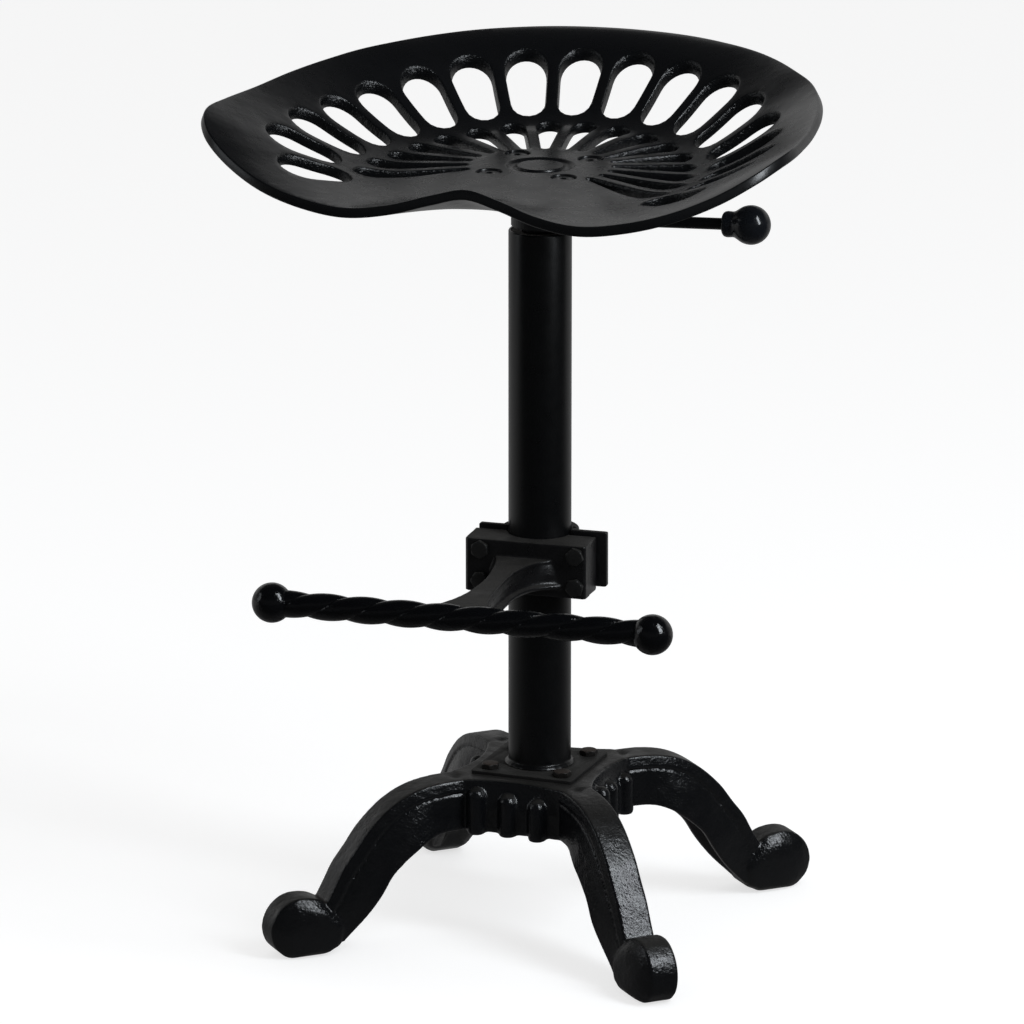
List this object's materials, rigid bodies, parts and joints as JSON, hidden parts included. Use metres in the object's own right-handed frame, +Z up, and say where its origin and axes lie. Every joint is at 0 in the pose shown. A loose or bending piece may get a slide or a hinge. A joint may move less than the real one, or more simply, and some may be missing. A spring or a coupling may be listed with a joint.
{
  "type": "tractor seat stool",
  "caption": "Counter stool with a dished, slotted cast seat on a gas-lift column, a release lever, a twisted footrest bar clamped to the column and a cast base with scroll feet.",
  "frame": {"origin": "on the floor, under the middle of the stool's bounding box; the column's axis stands 12.6 mm behind it (+Y)", "axes": "+Z up along the column, the front of the seat and the footrest towards -Y, the release lever towards +X"},
  "size_m": [0.4784, 0.4512, 0.688],
  "materials": {
    "base_enamel": "black semi-gloss enamel over a fine cast texture",
    "seat_enamel": "smooth black satin enamel over cast iron",
    "steel_paint": "black satin paint on steel",
    "dark_steel": "dark brown-black steel fasteners",
    "bright_steel": "plain machined steel",
    "rod_chrome": "polished hard chrome",
    "bush_plastic": "grey-brown acetal",
    "knob_plastic": "glossy black moulded knob",
    "buffer_rubber": "matt black rubber"
  },
  "bodies": {
    "base": {"base_casting": "base_enamel", "base_plate": "steel_paint", "column_tube": "steel_paint", "guide_bush": "bush_plastic", "thrust_bearing": "bright_steel", "base_bolt_1": "dark_steel", "base_bolt_2": "dark_steel", "base_bolt_3": "dark_steel", "base_bolt_4": "dark_steel", "base_washer_1": "dark_steel", "base_washer_2": "dark_steel", "base_washer_3": "dark_steel", "base_washer_4": "dark_steel", "base_nut_1": "dark_steel", "base_nut_2": "dark_steel", "base_nut_3": "dark_steel", "base_nut_4": "dark_steel"},
    "spindle": {"piston_rod": "rod_chrome", "piston_head": "bright_steel", "bearing_washer": "bright_steel", "rubber_buffer": "buffer_rubber", "retaining_clip": "bright_steel"},
    "seat_lift": {"gas_cylinder": "steel_paint", "rod_guide": "bright_steel", "mechanism_plate": "steel_paint", "mechanism_housing": "steel_paint", "taper_socket": "steel_paint", "pivot_pin": "bright_steel", "seat": "seat_enamel", "seat_screw_1": "dark_steel", "seat_screw_2": "dark_steel", "seat_screw_3": "dark_steel", "seat_screw_4": "dark_steel", "seat_nut_1": "dark_steel", "seat_nut_2": "dark_steel", "seat_nut_3": "dark_steel", "seat_nut_4": "dark_steel"},
    "button": {"release_button": "bright_steel"},
    "lever": {"lever_rod": "steel_paint", "lever_knob": "knob_plastic"},
    "footrest": {"footrest_casting": "base_enamel", "clamp_strap": "base_enamel", "clamp_bolt_1": "dark_steel", "clamp_bolt_2": "dark_steel", "clamp_bolt_3": "dark_steel", "clamp_bolt_4": "dark_steel", "clamp_nut_1": "dark_steel", "clamp_nut_2": "dark_steel", "clamp_nut_3": "dark_steel", "clamp_nut_4": "dark_steel"}
  },
  "joints": [
    {"name": "swivel", "type": "hinge", "parent": "base", "child": "spindle", "pos_m": [0, 0.01262, 0.1415], "axis": [0, 0, 1], "continuous": true},
    {"name": "lift", "type": "slide", "parent": "spindle", "child": "seat_lift", "axis": [0, 0, 1], "range_m": [0, 0.2]},
    {"name": "lever_pull", "type": "hinge", "parent": "seat_lift", "child": "lever", "pos_m": [0.024, 0.01262, 0.5989], "axis": [0, -1, 0], "range_deg": [0, 7], "stiffness_Nm_per_rad": 5},
    {"name": "button_press", "type": "slide", "parent": "seat_lift", "child": "button", "axis": [0, 0, -1], "range_m": [0, 0.003]},
    {"name": "footrest_slide", "type": "slide", "parent": "base", "child": "footrest", "axis": [0, 0, 1], "range_m": [-0.135, 0.235]}
  ],
  "couplings": [
    {"joint": "button_press", "follows": "lever_pull", "m_per_rad": 0.024}
  ]
}
